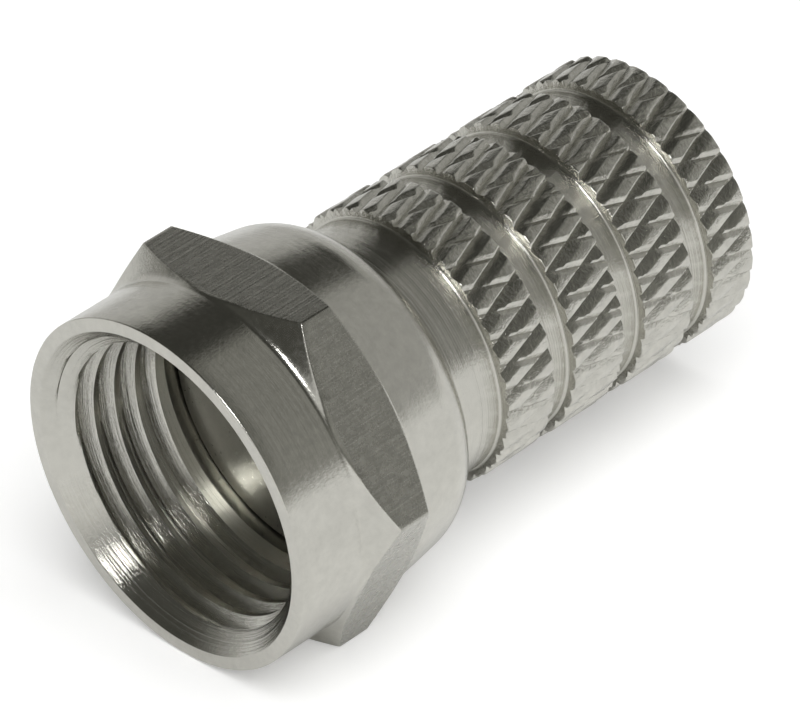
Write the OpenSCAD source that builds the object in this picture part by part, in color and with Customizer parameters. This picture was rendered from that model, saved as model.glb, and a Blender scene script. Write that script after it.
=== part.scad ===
// Twist-on F connector for coaxial cable: a hexagon coupling nut that turns freely on a one-piece sleeve.
// Millimetres. The axis lies along X: the origin is the centre of the sleeve's front face, which the
// port meets, the nut's mouth is at -X and the cable end at +X. Lengths below start at the mouth.
// One flat of the hexagon faces down, as the connector lies on a table. Nickel-plated brass.

/* [Coupling nut] */
// Across the flats of the hexagon
nut_af = 11.1; // [10.9:0.1:14]
// How far the round collar is turned below the flats
collar_drop = 0.02; // [0.02:0.01:0.15]
// Mouth to the front edge of the flats
collar_len = 2.4; // [1.9:0.1:2.7]
// Length of a flat along its middle
flat_len = 2.1; // [1.7:0.1:2.6]
// Slope of the front chamfer that rounds the corners, from the face plane
front_slope = 35; // [20:1:40]
// Slope of the back chamfer, from the face plane
back_slope = 27; // [15:1:35]
// How far the back has tapered in where its rounded shoulder starts
back_drop = 0.22; // [0.12:0.01:0.3]
// Radius of the rounded shoulder at the back
shoulder_r = 1.7; // [1.4:0.1:1.9]
// Thickness of the back wall
back_wall = 1.45; // [1.2:0.05:1.9]

/* [Coupling thread] */
// Minor diameter of the 3/8-32 thread
thread_minor_d = 8.8; // [7.2:0.05:9]
// Diameter of the countersunk mouth
mouth_d = 10.2; // [9.9:0.05:10.3]
// Depth of the threaded stretch
thread_len = 4.15; // [3.6:0.05:5]
// Thread to the face that the port meets
face_gap = 0.4; // [0.2:0.05:0.6]

/* [Sleeve] */
// Mouth of the nut to the cable end
total_len = 19.25; // [18.75:0.05:23.5]
// Diameter of the neck and of the groove floors
neck_d = 8.1; // [6.7:0.05:8.25]
// Height of the lip that holds the nut
lip_rise = 0.55; // [0.4:0.05:0.6]
// Length of the lip
lip_len = 1.2; // [0.8:0.1:1.5]
// Chamfer around the lip's face, which keeps the face clear of the thread
lip_edge = 0.25; // [0.1:0.05:0.4]
// Radial gap between the neck and the nut
run_gap = 0.1; // [0.05:0.01:0.1]
// Length of neck that shows behind the nut
neck_len = 1.65; // [1.2:0.05:1.9]

/* [Knurled bands] */
// Height of the bands over the neck
band_rise = 0.35; // [0.2:0.05:0.6]
// Length of the first band
first_band = 1.85; // [1.2:0.05:2.1]
// Spacing of the grooves
groove_pitch = 2.85; // [2.4:0.05:2.9]
// Width of a groove
groove_w = 0.85; // [0.5:0.05:1.2]
// Number of grooves
groove_count = 3; // [1:1:3]

/* [Cable bore] */
// Bore for the cable's insulated core
core_d = 4.4; // [3.6:0.1:5]
// Wall between the jacket bore and the neck
wall = 0.95; // [0.4:0.05:1.2]
// Depth of the jacket bore from the cable end
jacket_len = 10.2; // [8:0.1:11.8]
// Width of the countersink at the cable end
entry = 0.45; // [0.2:0.05:0.6]

/* [Hidden] */
$fn = 128;
flat_r = nut_af / 2;
corner_r = flat_r / cos(30) + 0.3;
flat_x = collar_len + flat_len;
collar_r = flat_r - collar_drop;
neck_r = neck_d / 2;
hole_r = neck_r + run_gap;
lip_r = neck_r + lip_rise;
recess_r = max(lip_r, thread_minor_d / 2) + 0.15;
band_r = neck_r + band_rise;
core_r = core_d / 2;
jacket_r = neck_r - wall;
lip_x = thread_len + face_gap;
lip_end = lip_x + lip_len;
recess_x = lip_end + 0.35;
back_x = recess_x + back_wall;
band_x = back_x + neck_len;
jacket_x = total_len - jacket_len;
// the back tapers from the collar's radius to join_x, where the shoulder's arc about arc_x and arc_r starts
join_turn = 6;
arc_x = back_x - shoulder_r * 0.946;
arc_r = collar_r - back_drop - shoulder_r * cos(join_turn);
join_x = arc_x + shoulder_r * sin(join_turn);
nickel = [0.70, 0.69, 0.66];
dark_nickel = [0.60, 0.59, 0.57];

// Distance along the axis of the front and back chamfers at a radius
function front_x(r) = collar_len + (r - flat_r) * tan(front_slope);
function rear_x(r) = flat_x - (r - flat_r) * tan(back_slope);

// Lays a piece drawn upright from the mouth along the X axis, with the origin at the sleeve's front face
module laid() {
  translate([-lip_x, 0, 0])
    rotate([0, 90, 0])
      children();
}

// Turns a profile drawn with the radius across and the distance from the mouth upwards
module turned() {
  laid()
    rotate_extrude()
      children();
}

// Round outline of the nut: collar, tapered back and rounded shoulder
module nut_round() {
  turned()
    union() {
      polygon([
        [hole_r - 0.5, 0],
        [collar_r - 0.06, 0],
        [collar_r, 0.06],
        [collar_r, flat_x],
        [collar_r - back_drop, join_x],
        [hole_r - 0.5, join_x]
      ]);
      intersection() {
        translate([arc_r, arc_x])
          circle(r = shoulder_r);
        translate([hole_r - 0.5, arc_x - 0.5])
          square([4, back_x - arc_x + 0.5]);
      }
    }
}

// Hexagon cut from bar, its corners turned away by a cone at each end
module nut_hexagon() {
  intersection() {
    laid()
      rotate([0, 0, 30])
        cylinder(h = back_x, r = flat_r / cos(30), $fn = 6);
    turned()
      polygon([
        [collar_r - 0.8, front_x(collar_r - 0.8)],
        [corner_r, front_x(corner_r)],
        [corner_r, rear_x(corner_r)],
        [collar_r - 0.8, rear_x(collar_r - 0.8)]
      ]);
  }
}

// Everything bored out of the nut: countersink, thread, recess and the hole that runs on the neck
module nut_bore() {
  turned()
    polygon([
      [0, -1],
      [mouth_d / 2 + 1, -1],
      [thread_minor_d / 2, (mouth_d - thread_minor_d) / 2],
      [thread_minor_d / 2, thread_len],
      [recess_r, thread_len],
      [recess_r, recess_x],
      [hole_r, recess_x],
      [hole_r, back_x + 1],
      [0, back_x + 1]
    ]);
}

module coupling_nut() {
  color(nickel)
    difference() {
      union() {
        nut_round();
        nut_hexagon();
      }
      nut_bore();
    }
}

// A groove between two knurled bands, with a slightly sloped wall on the cable side
module groove(x) {
  turned()
    polygon([
      [neck_r, x],
      [band_r + 1, x],
      [band_r + 1, x + groove_w + 0.4],
      [band_r, x + groove_w + 0.05],
      [neck_r, x + groove_w - 0.05]
    ]);
}

// The sleeve before its grooves are cut: lip, neck and one long band
module sleeve_blank() {
  turned()
    polygon([
      [core_r - 0.6, lip_x],
      [lip_r - lip_edge, lip_x],
      [lip_r, lip_x + lip_edge],
      [lip_r, lip_end],
      [neck_r, lip_end],
      [neck_r, band_x],
      [band_r, band_x + 0.12],
      [band_r, total_len],
      [core_r - 0.6, total_len]
    ]);
}

// Stepped bore: the core's hole in front, the jacket's behind it
module cable_bore() {
  turned()
    polygon([
      [0, lip_x - 1],
      [core_r, lip_x - 1],
      [core_r, jacket_x - 0.4],
      [jacket_r, jacket_x],
      [jacket_r, total_len - entry],
      [jacket_r + entry + 1, total_len + 1],
      [0, total_len + 1]
    ]);
}

module knurled_sleeve() {
  color(dark_nickel)
    difference() {
      sleeve_blank();
      for (i = [0 : groove_count - 1])
        groove(band_x + first_band + i * groove_pitch);
      cable_bore();
    }
}

coupling_nut();
knurled_sleeve();
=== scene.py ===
import math

import bmesh
import bpy
import numpy as np
from mathutils import Matrix, Vector


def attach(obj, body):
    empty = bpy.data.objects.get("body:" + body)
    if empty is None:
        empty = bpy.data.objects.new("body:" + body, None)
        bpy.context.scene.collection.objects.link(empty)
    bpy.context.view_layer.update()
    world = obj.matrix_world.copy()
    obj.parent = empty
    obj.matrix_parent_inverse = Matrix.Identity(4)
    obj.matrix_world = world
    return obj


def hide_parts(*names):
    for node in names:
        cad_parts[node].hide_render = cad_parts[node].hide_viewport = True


# Looks for the twist-on F connector. Lengths are in millimetres from the nut's mouth, and
# place() turns them into metres in the row's frame. Angles run round the axis from straight up
# towards -Y.

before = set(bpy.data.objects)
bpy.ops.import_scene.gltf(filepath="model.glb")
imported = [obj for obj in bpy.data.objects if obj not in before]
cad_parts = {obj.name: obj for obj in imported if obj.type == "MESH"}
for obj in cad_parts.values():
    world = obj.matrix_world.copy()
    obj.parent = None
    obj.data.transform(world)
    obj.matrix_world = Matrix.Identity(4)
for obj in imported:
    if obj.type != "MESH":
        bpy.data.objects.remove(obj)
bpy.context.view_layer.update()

MM = 0.001
FACE_X = 4.55           # mouth to the face that the port meets, which is the frame's origin


def place(s, r, phi):
    """Axial distance, radius and angle arrays to an (..., 3) array in metres."""
    return np.stack([(s - FACE_X) * MM, -r * np.sin(phi) * MM, r * np.cos(phi) * MM], axis=-1)


def smin(a, b, k):
    h = np.maximum(k - np.abs(a - b), 0.0) / k
    return np.minimum(a, b) - h * h * k / 4


def smax(a, b, k):
    return -smin(-a, -b, k)


def mesh_object(name, verts, faces, mats, material_of_face=None, smooth_angle=30):
    """A welded mesh from raw vertices and faces, shaded smooth with sharp edges kept."""
    mesh = bpy.data.meshes.new(name)
    mesh.from_pydata([tuple(v) for v in verts], [], [tuple(f) for f in faces])
    if material_of_face is not None:
        mesh.polygons.foreach_set("material_index", np.asarray(material_of_face, np.int32))
    bm = bmesh.new()
    bm.from_mesh(mesh)
    bmesh.ops.remove_doubles(bm, verts=bm.verts, dist=2e-7)
    bmesh.ops.dissolve_degenerate(bm, edges=bm.edges, dist=1e-7)
    bmesh.ops.recalc_face_normals(bm, faces=bm.faces)
    for f in bm.faces:
        f.smooth = True
    limit = math.radians(smooth_angle)
    for e in bm.edges:
        if len(e.link_faces) == 2 and e.calc_face_angle(0) > limit:
            e.smooth = False
    bm.to_mesh(mesh)
    bm.free()
    for m in mats:
        mesh.materials.append(m)
    obj = bpy.data.objects.new(name, mesh)
    bpy.context.scene.collection.objects.link(obj)
    return obj


def ring_at(s, r, phi):
    """One closed ring of points at a fixed distance and radius."""
    return place(np.full_like(phi, s), np.full_like(phi, r), phi)


def strip_faces(rows, cols):
    """Quads of a rows x cols grid of vertices."""
    i = np.arange((rows - 1) * cols).reshape(rows - 1, cols)[:, :-1]
    return np.stack([i, i + 1, i + cols + 1, i + cols], axis=-1).reshape(-1, 4)


# ---------------------------------------------------------------- materials

def new_material(name):
    """A material, its node tree and its shader."""
    m = bpy.data.materials.new(name)
    m.use_nodes = True
    nt = m.node_tree
    return m, nt, nt.nodes["Principled BSDF"]


def node(nt, kind, **kw):
    """A new node with the given settings."""
    n = nt.nodes.new(kind)
    for k, v in kw.items():
        setattr(n, k, v)
    return n


def math_node(nt, op, a, b=None):
    """A math node on sockets or numbers."""
    n = node(nt, "ShaderNodeMath", operation=op)
    for i, v in enumerate((a, b)):
        if v is None:
            continue
        if isinstance(v, (int, float)):
            n.inputs[i].default_value = v
        else:
            nt.links.new(v, n.inputs[i])
    return n.outputs[0]


def around_axis(nt):
    """Object coordinates as (axial, radius) sockets in millimetres, and the raw vector."""
    tc = node(nt, "ShaderNodeTexCoord")
    sep = node(nt, "ShaderNodeSeparateXYZ")
    nt.links.new(tc.outputs["Object"], sep.inputs[0])
    x, y, z = sep.outputs
    yy = math_node(nt, "MULTIPLY", y, y)
    zz = math_node(nt, "MULTIPLY", z, z)
    r = math_node(nt, "SQRT", math_node(nt, "ADD", yy, zz))
    axial = math_node(nt, "MULTIPLY", x, 1 / MM)
    radius = math_node(nt, "MULTIPLY", r, 1 / MM)
    return axial, radius, tc.outputs["Object"]


def noise(nt, vector, scale, detail=3.0, rough=0.55):
    n = node(nt, "ShaderNodeTexNoise")
    n.inputs["Scale"].default_value = scale
    n.inputs["Detail"].default_value = detail
    n.inputs["Roughness"].default_value = rough
    nt.links.new(vector, n.inputs["Vector"])
    return n.outputs["Fac"]


def ramp(nt, fac, lo, hi, a, b):
    """Maps lo..hi of a socket to a..b."""
    n = node(nt, "ShaderNodeMapRange")
    n.inputs["From Min"].default_value = lo
    n.inputs["From Max"].default_value = hi
    n.inputs["To Min"].default_value = a
    n.inputs["To Max"].default_value = b
    nt.links.new(fac, n.inputs["Value"])
    return n.outputs[0]


def combine(nt, x, y, z):
    n = node(nt, "ShaderNodeCombineXYZ")
    for i, v in enumerate((x, y, z)):
        if isinstance(v, (int, float)):
            n.inputs[i].default_value = v
        else:
            nt.links.new(v, n.inputs[i])
    return n.outputs[0]


def bump(nt, height, distance, normal=None):
    """Bump of the given height in metres, over an earlier one where there is one."""
    n = node(nt, "ShaderNodeBump")
    n.inputs["Strength"].default_value = 1.0
    n.inputs["Distance"].default_value = distance
    nt.links.new(height, n.inputs["Height"])
    if normal is not None:
        nt.links.new(normal, n.inputs["Normal"])
    return n.outputs["Normal"]


GRAIN_HEIGHT = 0.000010
LINE_HEIGHT = 0.000020


def nickel(name, colour, rough, lines=0.0, line_scale=9.0, drawn=0.0, grain=0.3, vary=0.05):
    """Nickel plate. lines: rings left by turning; drawn: marks along the bar; grain: fine pitting."""
    m, nt, bsdf = new_material(name)
    bsdf.inputs["Metallic"].default_value = 1.0
    ax, rad, raw = around_axis(nt)
    soft = noise(nt, raw, 3200.0, 5.0, 0.65)
    mix = node(nt, "ShaderNodeMix", data_type="RGBA")
    mix.inputs["A"].default_value = tuple(c * (1 - vary) for c in colour) + (1,)
    mix.inputs["B"].default_value = tuple(min(1, c * (1 + vary)) for c in colour) + (1,)
    nt.links.new(ramp(nt, soft, 0.3, 0.7, 0, 1), mix.inputs["Factor"])
    nt.links.new(mix.outputs["Result"], bsdf.inputs["Base Color"])
    fine = noise(nt, raw, 6000.0, 4.0)
    nt.links.new(ramp(nt, fine, 0.25, 0.75, rough * 0.7, rough * 1.3), bsdf.inputs["Roughness"])
    normal = bump(nt, noise(nt, raw, 9000.0, 5.0, 0.65), GRAIN_HEIGHT * grain)
    if lines:
        rings = noise(nt, combine(nt, ax, rad, 0.0), line_scale, 5.0, 0.7)
        normal = bump(nt, rings, LINE_HEIGHT * lines, normal)
    if drawn:
        sep = node(nt, "ShaderNodeSeparateXYZ")
        nt.links.new(raw, sep.inputs[0])
        along = combine(nt, math_node(nt, "MULTIPLY", sep.outputs[0], 160.0),
                        math_node(nt, "MULTIPLY", sep.outputs[1], 7000.0),
                        math_node(nt, "MULTIPLY", sep.outputs[2], 7000.0))
        normal = bump(nt, noise(nt, along, 1.0, 5.0, 0.7), LINE_HEIGHT * drawn, normal)
    nt.links.new(normal, bsdf.inputs["Normal"])
    return m


PLATE = (0.60, 0.592, 0.545)
# This darker copy of the plate colour is painted shade: it is the same nickel made darker, not a different
# metal
SHADED_PLATE = (0.47, 0.464, 0.424)
turned_mat = nickel("nickel_turned", PLATE, 0.17, lines=0.25, line_scale=8.0, grain=0.5, vary=0.07)
# Hexagon flats: painted shade darkens them next to the turned faces; their rougher surface and drawn marks
# are real
flat_mat = nickel("nickel_flat_drawn_painted_shade", SHADED_PLATE, 0.26, drawn=0.6, grain=0.5, vary=0.10)
thread_mat = nickel("nickel_thread", PLATE, 0.13, lines=0.9, line_scale=9.0, grain=0.6)
neck_mat = nickel("nickel_neck", PLATE, 0.13, lines=1.1, line_scale=9.0, grain=0.5)
knurl_mat = nickel("nickel_knurl", PLATE, 0.14, grain=2.0, vary=0.12)
# Bores and the sleeve's face deep inside the nut: the darker colour is painted shade of the recess, and the
# higher roughness is real
bore_mat = nickel("nickel_bore_painted_shade", SHADED_PLATE, 0.34, lines=0.6, grain=0.6)

# ---------------------------------------------------------------- coupling nut

FLAT_R = 5.55
COLLAR_R = 5.53
FRONT = math.tan(math.radians(35))
REAR = math.tan(math.radians(27))
COLLAR_LEN, FLAT_END = 2.4, 4.5
NUT_LEN, SHOULDER = 7.55, 1.7
ARC_X, ARC_R = 5.942, 3.619     # centre of the rounded shoulder
JOIN_X, JOIN_R = 6.120, 5.31    # where the taper runs into it
HOLE_R, RECESS_R, RECESS_X = 4.15, 4.75, 6.10
MINOR_R, MAJOR_R, PITCH = 4.40, 4.7625, 0.79375
CREST, ROOT = 0.18, 0.09
RIM_EDGE = 0.045
TURNED, FLAT, THREAD = 0, 1, 2
MOUTH_R, LAND_X, THREAD_END = 5.10, 4.15, 3.75


def hex_radius(phi):
    """Radius of the hexagon, its corners a little rounded."""
    d = np.mod(phi + math.pi / 6, math.pi / 3) - math.pi / 6
    near = FLAT_R / np.cos(d)
    other = FLAT_R / np.cos(math.pi / 3 - np.abs(d))
    return smin(near, other, 0.05)


def round_radius(s):
    """Radius of the round parts: collar, tapered back and shoulder."""
    taper = COLLAR_R + (JOIN_R - COLLAR_R) * np.clip((s - FLAT_END) / (JOIN_X - FLAT_END), 0, 1) ** 1.15
    arc = ARC_R + np.sqrt(np.maximum(SHOULDER ** 2 - np.maximum(s - ARC_X, 0) ** 2, 0))
    return np.where(s < JOIN_X, taper, arc)


def outer_radius(s, phi):
    """Radius of the nut: the hexagon cut by its two cones, blended into the round parts."""
    hexa = hex_radius(phi)
    front = FLAT_R + (s - COLLAR_LEN) / FRONT
    rear = FLAT_R + (FLAT_END - s) / REAR
    part = smin(smin(hexa, front, 0.05), rear, 0.05)
    body = round_radius(s)
    blend = np.where(s < 3.4, 0.20, 0.07)
    return np.minimum(smax(body, part, blend), np.maximum(hexa, body))


def nut_columns():
    """Angles of the columns, closer together at the hexagon's corners."""
    half = np.array([0, 0.35, 0.9, 1.8, 3.3, 5.5, 8, 10.5, 13, 15.5, 18, 20.5, 23, 25.5, 28])
    sector = np.concatenate([half, 60 - half[:0:-1]])
    phi = np.concatenate([30 + 60 * k + sector for k in range(6)] + [[390.0]])
    return np.radians(phi)


def nut_outside(phi):
    """Rows of the outside from the mouth's inner edge back to the hole."""
    rows = [ring_at(0.0, MOUTH_R, phi), ring_at(0.0, 5.2, phi)]
    for t in np.radians(np.linspace(0, 90, 6)):
        back, rise = RIM_EDGE * (1 - math.cos(t)), RIM_EDGE * math.sin(t)
        rows.append(ring_at(back, COLLAR_R - RIM_EDGE + rise, phi))
    kind = [TURNED] * len(rows)
    hexa = hex_radius(phi)
    k1 = COLLAR_LEN + (COLLAR_R - FLAT_R) * FRONT
    k2 = COLLAR_LEN + (hexa - FLAT_R) * FRONT
    k3 = FLAT_END - (hexa - FLAT_R) * REAR
    k4 = FLAT_END - (COLLAR_R - FLAT_R) * REAR
    near = [-0.045, -0.025, -0.01, 0.01, 0.025, 0.045]
    stops = [(s, TURNED) for s in (0.5, 1.0, 1.5, 2.0, 2.2)]
    stops += [(k1 + d, TURNED) for d in np.linspace(-0.15, 0.15, 13)]
    stops += [(k1 + 0.05 + (k2 - k1 - 0.1) * f, TURNED) for f in (0.35, 0.65)]
    stops += [(k2 + d, FLAT if d > 0 else TURNED) for d in near]
    stops += [(k2 + 0.05 + (k3 - k2 - 0.1) * f, FLAT) for f in (0.2, 0.4, 0.6, 0.8)]
    stops += [(k3 + d, FLAT if d < 0 else TURNED) for d in near]
    stops += [(k3 + 0.05 + (k4 - k3 - 0.1) * f, TURNED) for f in (0.35, 0.65)]
    stops += [(k4 + d, TURNED) for d in near]
    stops += [(s, TURNED) for s in np.linspace(4.65, JOIN_X, 9)]
    stops += [(ARC_X + SHOULDER * math.sin(t), TURNED) for t in np.radians(np.linspace(8, 71, 18))]
    last = np.full_like(phi, -1.0)
    for s, k in stops:
        last = np.minimum(np.maximum(s, last), NUT_LEN)
        rows.append(place(last, outer_radius(last, phi), phi))
        kind.append(k)
    rows.append(ring_at(NUT_LEN, HOLE_R, phi))
    kind.append(TURNED)
    return rows, kind


def screw(phi, top, low, pitch, marks, radius):
    """Rows of a screw thread from its deep end at top to its shallow end at low."""
    rows = []
    turn = pitch * phi / (2 * math.pi)
    first = int(math.floor(low / pitch)) - 3
    last = int(math.ceil(top / pitch)) + 2
    for u in sorted((k * pitch + m for k in range(first, last) for m in marks), reverse=True):
        s = np.clip(u + turn, low, top)
        rows.append(place(s, radius(s, np.mod(s - turn, pitch)), phi))
    return rows


def nut_bore(phi):
    """Rows of the smooth inside, from the hole's back end forward to the thread."""
    profile = [(NUT_LEN - 0.02, HOLE_R), (6.8, HOLE_R), (RECESS_X + 0.02, HOLE_R),
               (RECESS_X, HOLE_R + 0.02), (RECESS_X, 4.45), (RECESS_X, RECESS_R - 0.04),
               (RECESS_X - 0.04, RECESS_R), (5.4, RECESS_R), (4.8, RECESS_R), (LAND_X + 0.02, RECESS_R),
               (LAND_X, RECESS_R - 0.02), (LAND_X, 4.5), (LAND_X, MINOR_R + 0.03), (LAND_X - 0.03, MINOR_R)]
    return [ring_at(s, r, phi) for s, r in profile]


def nut_thread(phi):
    """Rows of the 60 degree thread, from its deep end forward to the mouth's countersink."""
    flank = (PITCH - CREST - ROOT) / 2
    marks = [0.0, 0.02, 0.09, CREST - 0.02, CREST, CREST + flank * 0.33, CREST + flank * 0.67,
             CREST + flank, CREST + flank + ROOT / 2, PITCH - flank, PITCH - flank * 0.67,
             PITCH - flank * 0.33]

    def radius(s, t):
        up = np.clip((t - CREST) / flank, 0, 1)
        down = np.clip((PITCH - t) / flank, 0, 1)
        fade = np.clip((THREAD_END + 0.12 - s) / 0.24, 0, 1)
        r = MINOR_R + (MAJOR_R - MINOR_R) * np.minimum(up, down) * fade
        return np.maximum(r, MOUTH_R - s)

    return screw(phi, LAND_X - 0.03, 0.0, PITCH, marks, radius)


def build_nut():
    phi = nut_columns()
    outside, kind = nut_outside(phi)
    bore = nut_bore(phi)
    rows = outside + bore + nut_thread(phi)
    per_row = [FLAT if a == b == FLAT else TURNED for a, b in zip(kind, kind[1:])]
    per_row += [TURNED] * (len(bore) - 1)
    per_row += [THREAD] * (len(rows) - 1 - len(per_row))
    faces = strip_faces(len(rows), len(phi))
    mat = np.repeat(per_row, len(phi) - 1)
    mats = [turned_mat, flat_mat, thread_mat]
    return mesh_object("coupling_nut_skin", np.concatenate(rows), faces, mats, mat, 24)


# ---------------------------------------------------------------- knurled sleeve

NECK_R, BAND_R, TOTAL = 4.05, 4.40, 19.25
TEETH = 34
STEP = 2 * math.pi / TEETH
LEAN_1 = math.radians(4.85)    # turn per millimetre of the deep cuts, which go down towards the nut
LEAN_2 = math.radians(4.0)     # turn per millimetre of the shallow cuts that cross them
P0 = (math.radians(62.2) + LEAN_1 * 10.31) / STEP    # where each family of cuts starts, in teeth
Q0 = (math.radians(58.0) - LEAN_2 * 10.30) / STEP
BANDS = [(9.20, 11.05), (11.90, 13.90), (14.75, 16.75), (17.60, TOTAL)]
DEPTH_1, DEPTH_2 = 0.17, 0.10
RISE, DROP = 0.42, 0.86        # where a tooth's long flank ends and its short one begins
GAP_2 = BAND_R * STEP * math.cos(math.atan(LEAN_2 * BAND_R))    # between two shallow cuts
EDGE = 0.06                    # rounding of a band's two edges
FILLET = 0.10                  # at the foot of a band's front wall
CORE_R, JACKET_R, JACKET_X = 2.2, 3.1, 9.05
JACKET_PITCH, JACKET_DEPTH = 1.0, 0.3
NECK, KNURL, BORE = 0, 1, 2


def knurl_radius(phi, s, s0, s1):
    """Radius of the crossed knurl: saw teeth, with shallower grooves cut across them."""
    p = np.mod((phi + LEAN_1 * s) / STEP - P0, 1.0)
    q = (phi - LEAN_2 * s) / STEP - Q0
    depth = DEPTH_1 * (1 - 0.35 * np.clip((s - 18.6) / 0.6, 0, 1))
    long_side = BAND_R - depth * (1 - p / RISE)
    short_side = BAND_R - depth * (p - DROP) / (1 - DROP)
    saw = smin(smin(long_side, np.full_like(p, BAND_R), 0.02), short_side, 0.07)
    across = BAND_R - DEPTH_2 + np.abs(q - np.round(q)) * GAP_2 * math.tan(math.radians(34))
    r = smin(saw, across, 0.015)
    inset = EDGE - np.clip(np.minimum(s - s0, s1 - s), 0, EDGE)
    return np.minimum(r, BAND_R - EDGE + np.sqrt(EDGE ** 2 - inset ** 2))


def band_grid(s0, s1):
    """Cells of the crossed grooves laid on the band's cylinder, running a little past its ends."""
    us = np.array([0, 0.05, 0.20, 0.36, RISE, 0.46, 0.62, DROP - 0.05, DROP - 0.02, DROP + 0.01,
                   DROP + 0.05, 1.0])
    half = np.array([0, 0.06, 0.12, 0.18, 0.22, 0.35, 0.5])
    vs = np.concatenate([half, 1 - half[-2::-1]])
    turn = LEAN_1 + LEAN_2
    m0 = math.floor(s0 * turn / STEP - P0 + Q0) - 2
    m1 = math.ceil(s1 * turn / STEP - P0 + Q0) + 2
    verts, faces, count = [], [], 0
    for i in range(TEETH):
        for m in range(m0, m1 + 1):
            u, v = np.meshgrid(us, vs, indexing="ij")
            s = STEP * (u - v + m + P0 - Q0) / turn
            if s.max() < s0 or s.min() > s1:
                continue
            phi = STEP * (i + u + P0) - LEAN_1 * s
            verts.append(place(s, np.full_like(s, BAND_R), phi).reshape(-1, 3))
            faces.append(strip_faces(len(us), len(vs)) + count)
            count += u.size
    return np.concatenate(verts), np.concatenate(faces)


def cut_across(part, s, side, clear):
    """Cuts the band's mesh at distance s; side is the way that is cleared."""
    geom = part.verts[:] + part.edges[:] + part.faces[:]
    bmesh.ops.bisect_plane(part, geom=geom, dist=1e-7, plane_co=((s - FACE_X) * MM, 0, 0),
                           plane_no=(side, 0, 0), clear_outer=clear)


def outward(face):
    c = face.calc_center_median()
    return face.normal.dot(Vector((0, c.y, c.z)))


def close_end(part, s):
    """Walls from a band's edge down into the neck."""
    x = (s - FACE_X) * MM
    rim = [e for e in part.edges
           if len(e.link_faces) == 1 and all(abs(v.co.x - x) < 1e-6 for v in e.verts)]
    for v in bmesh.ops.extrude_edge_only(part, edges=rim)["geom"]:
        if isinstance(v, bmesh.types.BMVert):
            k = (NECK_R + 0.03) * MM / math.hypot(v.co.y, v.co.z)
            v.co.y *= k
            v.co.z *= k


def add_band(bm, s0, s1):
    """One knurled band, added to the sleeve's mesh."""
    verts, faces = band_grid(s0, s1)
    mesh = bpy.data.meshes.new("band")
    mesh.from_pydata([tuple(v) for v in verts], [], [tuple(f) for f in faces])
    part = bmesh.new()
    part.from_mesh(mesh)
    bmesh.ops.remove_doubles(part, verts=part.verts, dist=2e-6)
    cut_across(part, s0, -1, True)
    cut_across(part, s1, 1, True)
    for d in (0.012, 0.03, EDGE):
        cut_across(part, s0 + d, -1, False)
    for d in (0.012, 0.03, EDGE):
        cut_across(part, s1 - d, 1, False)
    co = np.array([v.co[:] for v in part.verts])
    phi = np.arctan2(-co[:, 1], co[:, 2])
    s = co[:, 0] / MM + FACE_X
    for v, c in zip(part.verts, place(s, knurl_radius(phi, s, s0, s1), phi)):
        v.co = c
    bmesh.ops.recalc_face_normals(part, faces=part.faces)
    if sum(outward(f) for f in part.faces) < 0:
        bmesh.ops.reverse_faces(part, faces=part.faces)
    close_end(part, s0)
    close_end(part, s1)
    for f in part.faces:
        f.material_index = KNURL
        f.smooth = True
    for e in part.edges:
        if len(e.link_faces) == 2 and e.calc_face_angle(0) > math.radians(26):
            e.smooth = False
    part.to_mesh(mesh)
    part.free()
    bm.from_mesh(mesh)
    bpy.data.meshes.remove(mesh)


def sleeve_outside():
    """Profile of the sleeve under its bands, from the front hole's edge back to the rear face."""
    front = [(4.63, CORE_R), (4.55, CORE_R + 0.08), (4.55, 3.0), (4.55, 3.8), (4.55, 4.33), (4.57, 4.36),
             (4.79, 4.58), (4.83, 4.6), (5.15, 4.6), (5.71, 4.6), (5.75, 4.56), (5.75, 4.08)]
    neck = [(5.78, NECK_R), (7.0, NECK_R), (8.0, NECK_R), (9.0, NECK_R)]
    for s0, s1 in BANDS:
        for t in np.radians((0, 15, 30, 45, 60, 75)):
            neck.append((s0 - FILLET + FILLET * math.sin(t), NECK_R + FILLET * (1 - math.cos(t))))
        neck += [(s0 + 0.02, NECK_R + 0.09), (s0 + 0.1, NECK_R), (s1 - 0.1, NECK_R)]
        if s1 < TOTAL:
            neck += [(s1 - 0.01, NECK_R + 0.05), (s1 + 0.02, NECK_R + 0.012), (s1 + 0.05, NECK_R)]
    neck += [(TOTAL, NECK_R), (TOTAL, 3.6)]
    return front, neck


def core_rows(phi):
    """Rows all round the sleeve's section, and whether each belongs to a bored face."""
    front, neck = sleeve_outside()
    entry = [(TOTAL, 3.56), (TOTAL - 0.02, 3.53), (18.82, JACKET_R + 0.02)]
    core = [(9.4, JACKET_R), (JACKET_X, JACKET_R), (8.6, CORE_R), (7.0, CORE_R), (5.5, CORE_R),
            (4.63, CORE_R)]

    def radius(s, t):
        up = np.clip((t - 0.15) / 0.33, 0, 1)
        down = np.clip((JACKET_PITCH - t) / 0.33, 0, 1)
        fade = np.clip((s - 9.6) / 0.6, 0, 1)
        return JACKET_R + JACKET_DEPTH * np.minimum(up, down) * fade

    turns = screw(phi, 18.75, 9.5, JACKET_PITCH, [0.0, 0.15, 0.3, 0.48, 0.67, 0.85], radius)
    rows = [ring_at(s, r, phi) for s, r in front + neck + entry] + turns
    rows += [ring_at(s, r, phi) for s, r in core]
    bored = [True] * len(front) + [False] * len(neck) + [True] * (len(entry) + len(turns) + len(core))
    return rows, bored


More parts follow.
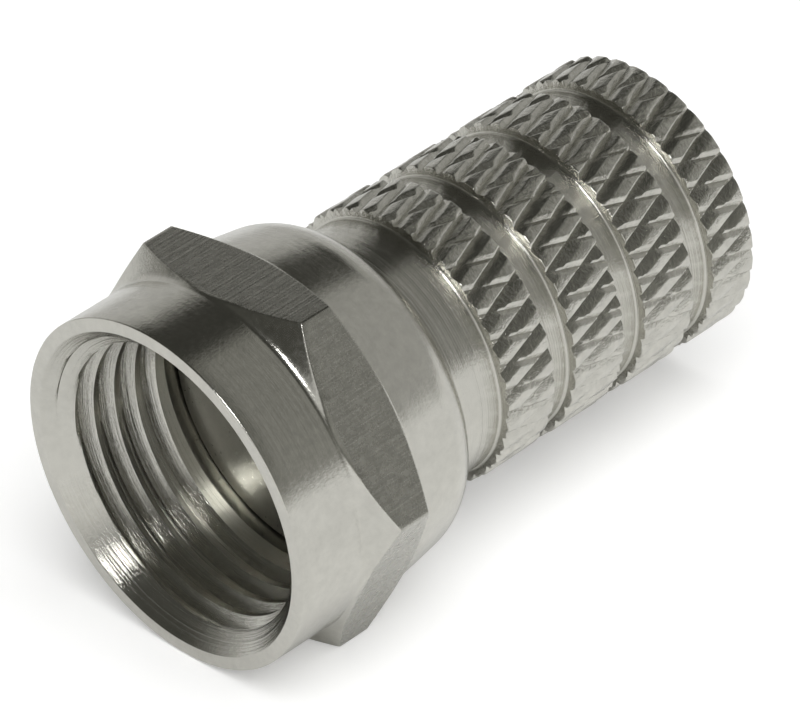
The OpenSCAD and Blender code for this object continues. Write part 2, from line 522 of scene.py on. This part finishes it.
def build_sleeve():
    phi = np.linspace(0, 2 * math.pi, 145)
    rows, bored = core_rows(phi)
    faces = strip_faces(len(rows), len(phi))
    mat = np.repeat([BORE if a and b else NECK for a, b in zip(bored, bored[1:])], len(phi) - 1)
    mats = [neck_mat, knurl_mat, bore_mat]
    obj = mesh_object("knurled_sleeve_skin", np.concatenate(rows), faces, mats, mat, 24)
    bm = bmesh.new()
    bm.from_mesh(obj.data)
    for s0, s1 in BANDS:
        add_band(bm, s0, s1)
    bm.to_mesh(obj.data)
    bm.free()
    return obj


nut = build_nut()
sleeve = build_sleeve()
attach(nut, "nut")
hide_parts("coupling_nut")
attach(sleeve, "sleeve")
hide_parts("knurled_sleeve")

# ---------------------------------------------------------------- floor

FLOOR_Z = -5.55 * MM
FLOOR_COLOUR = (0.86, 0.86, 0.86, 1)
FLOOR_LIFT = 0.30               # brings the floor up to white where the camera sees it


def build_floor():
    mat, nt, bsdf = new_material("floor_white")
    bsdf.inputs["Base Color"].default_value = FLOOR_COLOUR
    bsdf.inputs["Roughness"].default_value = 0.9
    bsdf.inputs["Specular IOR Level"].default_value = 0.1
    glow = node(nt, "ShaderNodeEmission")
    seen = node(nt, "ShaderNodeLightPath")
    lift = math_node(nt, "MULTIPLY", seen.outputs["Is Camera Ray"], FLOOR_LIFT)
    nt.links.new(lift, glow.inputs["Strength"])
    both = node(nt, "ShaderNodeAddShader")
    nt.links.new(bsdf.outputs[0], both.inputs[0])
    nt.links.new(glow.outputs[0], both.inputs[1])
    nt.links.new(both.outputs[0], nt.nodes["Material Output"].inputs["Surface"])
    bm = bmesh.new()
    bmesh.ops.create_grid(bm, x_segments=8, y_segments=8, size=1.5)
    for v in bm.verts:
        v.co.z = FLOOR_Z
    mesh = bpy.data.meshes.new("floor")
    bm.to_mesh(mesh)
    bm.free()
    mesh.materials.append(mat)
    floor = bpy.data.objects.new("floor", mesh)
    bpy.context.scene.collection.objects.link(floor)
    return floor


build_floor()

# ---------------------------------------------------------------- surroundings and lamps

# Levels of the room round the object's long axis, in degrees from straight up towards -Y. Each list
# holds for one slant along that axis, from the mouth's end (front) to the cable's end (behind).
FRONT_ROOM = [(-180, 0.8), (-90, 0.3), (-60, 0.07), (10, 0.07), (45, 0.5), (70, 0.8), (180, 0.8)]
AHEAD_ROOM = [(-180, 0.8), (-100, 0.7), (-64, 0.50), (-52, 0.30), (-47, 0.05), (40, 0.06), (62, 0.12),
              (84, 0.25), (92, 0.8), (180, 0.8)]
BESIDE_ROOM = [(-180, 0.8), (-100, 0.62), (-66, 0.52), (-52, 0.35), (-49, 0.05), (-12, 0.045), (-7, 0.25),
               (40, 0.26), (84, 0.28), (92, 0.8), (180, 0.8)]
BEYOND_ROOM = [(-180, 0.8), (-100, 0.62), (-66, 0.55), (-52, 0.40), (-49, 0.06), (-14, 0.06), (-8, 0.42),
               (84, 0.46), (92, 0.8), (180, 0.8)]
BEHIND_ROOM = [(-180, 0.8), (-100, 0.62), (-66, 0.55), (-50, 0.45), (-40, 0.40), (84, 0.44), (92, 0.8),
               (180, 0.8)]


def room(nt, fac, stops):
    """A colour ramp round the axis; darker levels are a little more olive."""
    n = node(nt, "ShaderNodeValToRGB")
    cr = n.color_ramp
    cr.interpolation = "LINEAR"
    while len(cr.elements) > 1:
        cr.elements.remove(cr.elements[-1])
    for i, (deg, v) in enumerate(stops):
        e = cr.elements[0] if i == 0 else cr.elements.new(deg / 360 + 0.5)
        e.position = deg / 360 + 0.5
        e.color = (v, v * 0.995, v * (0.86 + 0.11 * min(1, v / 0.5)), 1)
    nt.links.new(fac, n.inputs[0])
    return n.outputs[0]


def between(nt, a, b, value, lo, hi):
    """Fades from a to b as value goes from lo to hi."""
    f = node(nt, "ShaderNodeMapRange", interpolation_type="SMOOTHSTEP")
    f.inputs["From Min"].default_value = lo
    f.inputs["From Max"].default_value = hi
    nt.links.new(value, f.inputs["Value"])
    n = node(nt, "ShaderNodeMix", data_type="RGBA")
    nt.links.new(f.outputs[0], n.inputs["Factor"])
    nt.links.new(a, n.inputs["A"])
    nt.links.new(b, n.inputs["B"])
    return n.outputs["Result"]


def build_world():
    world = bpy.data.worlds.new("studio")
    bpy.context.scene.world = world
    world.use_nodes = True
    nt = world.node_tree
    nt.nodes.clear()
    tc = node(nt, "ShaderNodeTexCoord")
    sep = node(nt, "ShaderNodeSeparateXYZ")
    nt.links.new(tc.outputs["Generated"], sep.inputs[0])
    x, y, z = sep.outputs
    angle = math_node(nt, "ARCTAN2", math_node(nt, "MULTIPLY", y, -1.0), z)
    fac = math_node(nt, "ADD", math_node(nt, "MULTIPLY", angle, 1 / (2 * math.pi)), 0.5)
    near_side = between(nt, room(nt, fac, AHEAD_ROOM), room(nt, fac, BESIDE_ROOM), x, 0.25, 0.50)
    sky = between(nt, room(nt, fac, FRONT_ROOM), near_side, x, -0.5, -0.1)
    sky = between(nt, sky, room(nt, fac, BEYOND_ROOM), x, 0.56, 0.70)
    sky = between(nt, sky, room(nt, fac, BEHIND_ROOM), x, 0.74, 0.88)
    lit = node(nt, "ShaderNodeBackground")
    nt.links.new(sky, lit.inputs["Color"])
    lit.inputs["Strength"].default_value = 1.0
    white = node(nt, "ShaderNodeBackground")
    white.inputs["Color"].default_value = (1, 1, 1, 1)
    seen = node(nt, "ShaderNodeLightPath")
    mix = node(nt, "ShaderNodeMixShader")
    nt.links.new(seen.outputs["Is Camera Ray"], mix.inputs[0])
    nt.links.new(lit.outputs[0], mix.inputs[1])
    nt.links.new(white.outputs[0], mix.inputs[2])
    out = node(nt, "ShaderNodeOutputWorld")
    nt.links.new(mix.outputs[0], out.inputs[0])


LAMP_DISTANCE = 0.6


def area_lamp(name, direction, size, power):
    """A round lamp in the given direction, facing the object."""
    data = bpy.data.lights.new(name, "AREA")
    data.shape = "DISK"
    data.size = size
    data.energy = power
    obj = bpy.data.objects.new(name, data)
    d = Vector(direction).normalized()
    obj.location = d * LAMP_DISTANCE
    obj.rotation_euler = d.to_track_quat("Z", "Y").to_euler()
    bpy.context.scene.collection.objects.link(obj)
    return obj


build_world()
overhead = area_lamp("overhead", (-0.15, -0.45, 1.0), 0.7, 4.2)
overhead.visible_glossy = False
key = area_lamp("key", (-0.593, -0.340, 0.731), 0.14, 1.1)
key.visible_diffuse = False

# ---------------------------------------------------------------- camera

HEADING, HEIGHT, ROLL = math.radians(40.94), math.radians(34.64), math.radians(-6.19)
REACH = 0.1966
TARGET = Vector((0.00465, 0.00002, -0.00030))


def build_camera():
    data = bpy.data.cameras.new("camera")
    data.sensor_width = 36
    data.sensor_fit = "HORIZONTAL"
    data.lens = 310.4
    data.clip_start = 0.01
    data.clip_end = 10
    cam = bpy.data.objects.new("camera", data)
    bpy.context.scene.collection.objects.link(cam)
    flat = math.cos(HEIGHT)
    look = Vector((math.sin(HEADING) * flat, math.cos(HEADING) * flat, -math.sin(HEIGHT)))
    right = look.cross(Vector((0, 0, 1))).normalized()
    up = right.cross(look)
    rolled_right = right * math.cos(ROLL) + up * math.sin(ROLL)
    rolled_up = up * math.cos(ROLL) - right * math.sin(ROLL)
    matrix = Matrix((rolled_right, rolled_up, -look)).transposed().to_4x4()
    matrix.translation = TARGET - look * REACH
    cam.matrix_world = matrix
    return cam


bpy.context.scene.camera = build_camera()
bpy.context.scene.view_settings.view_transform = "Standard"
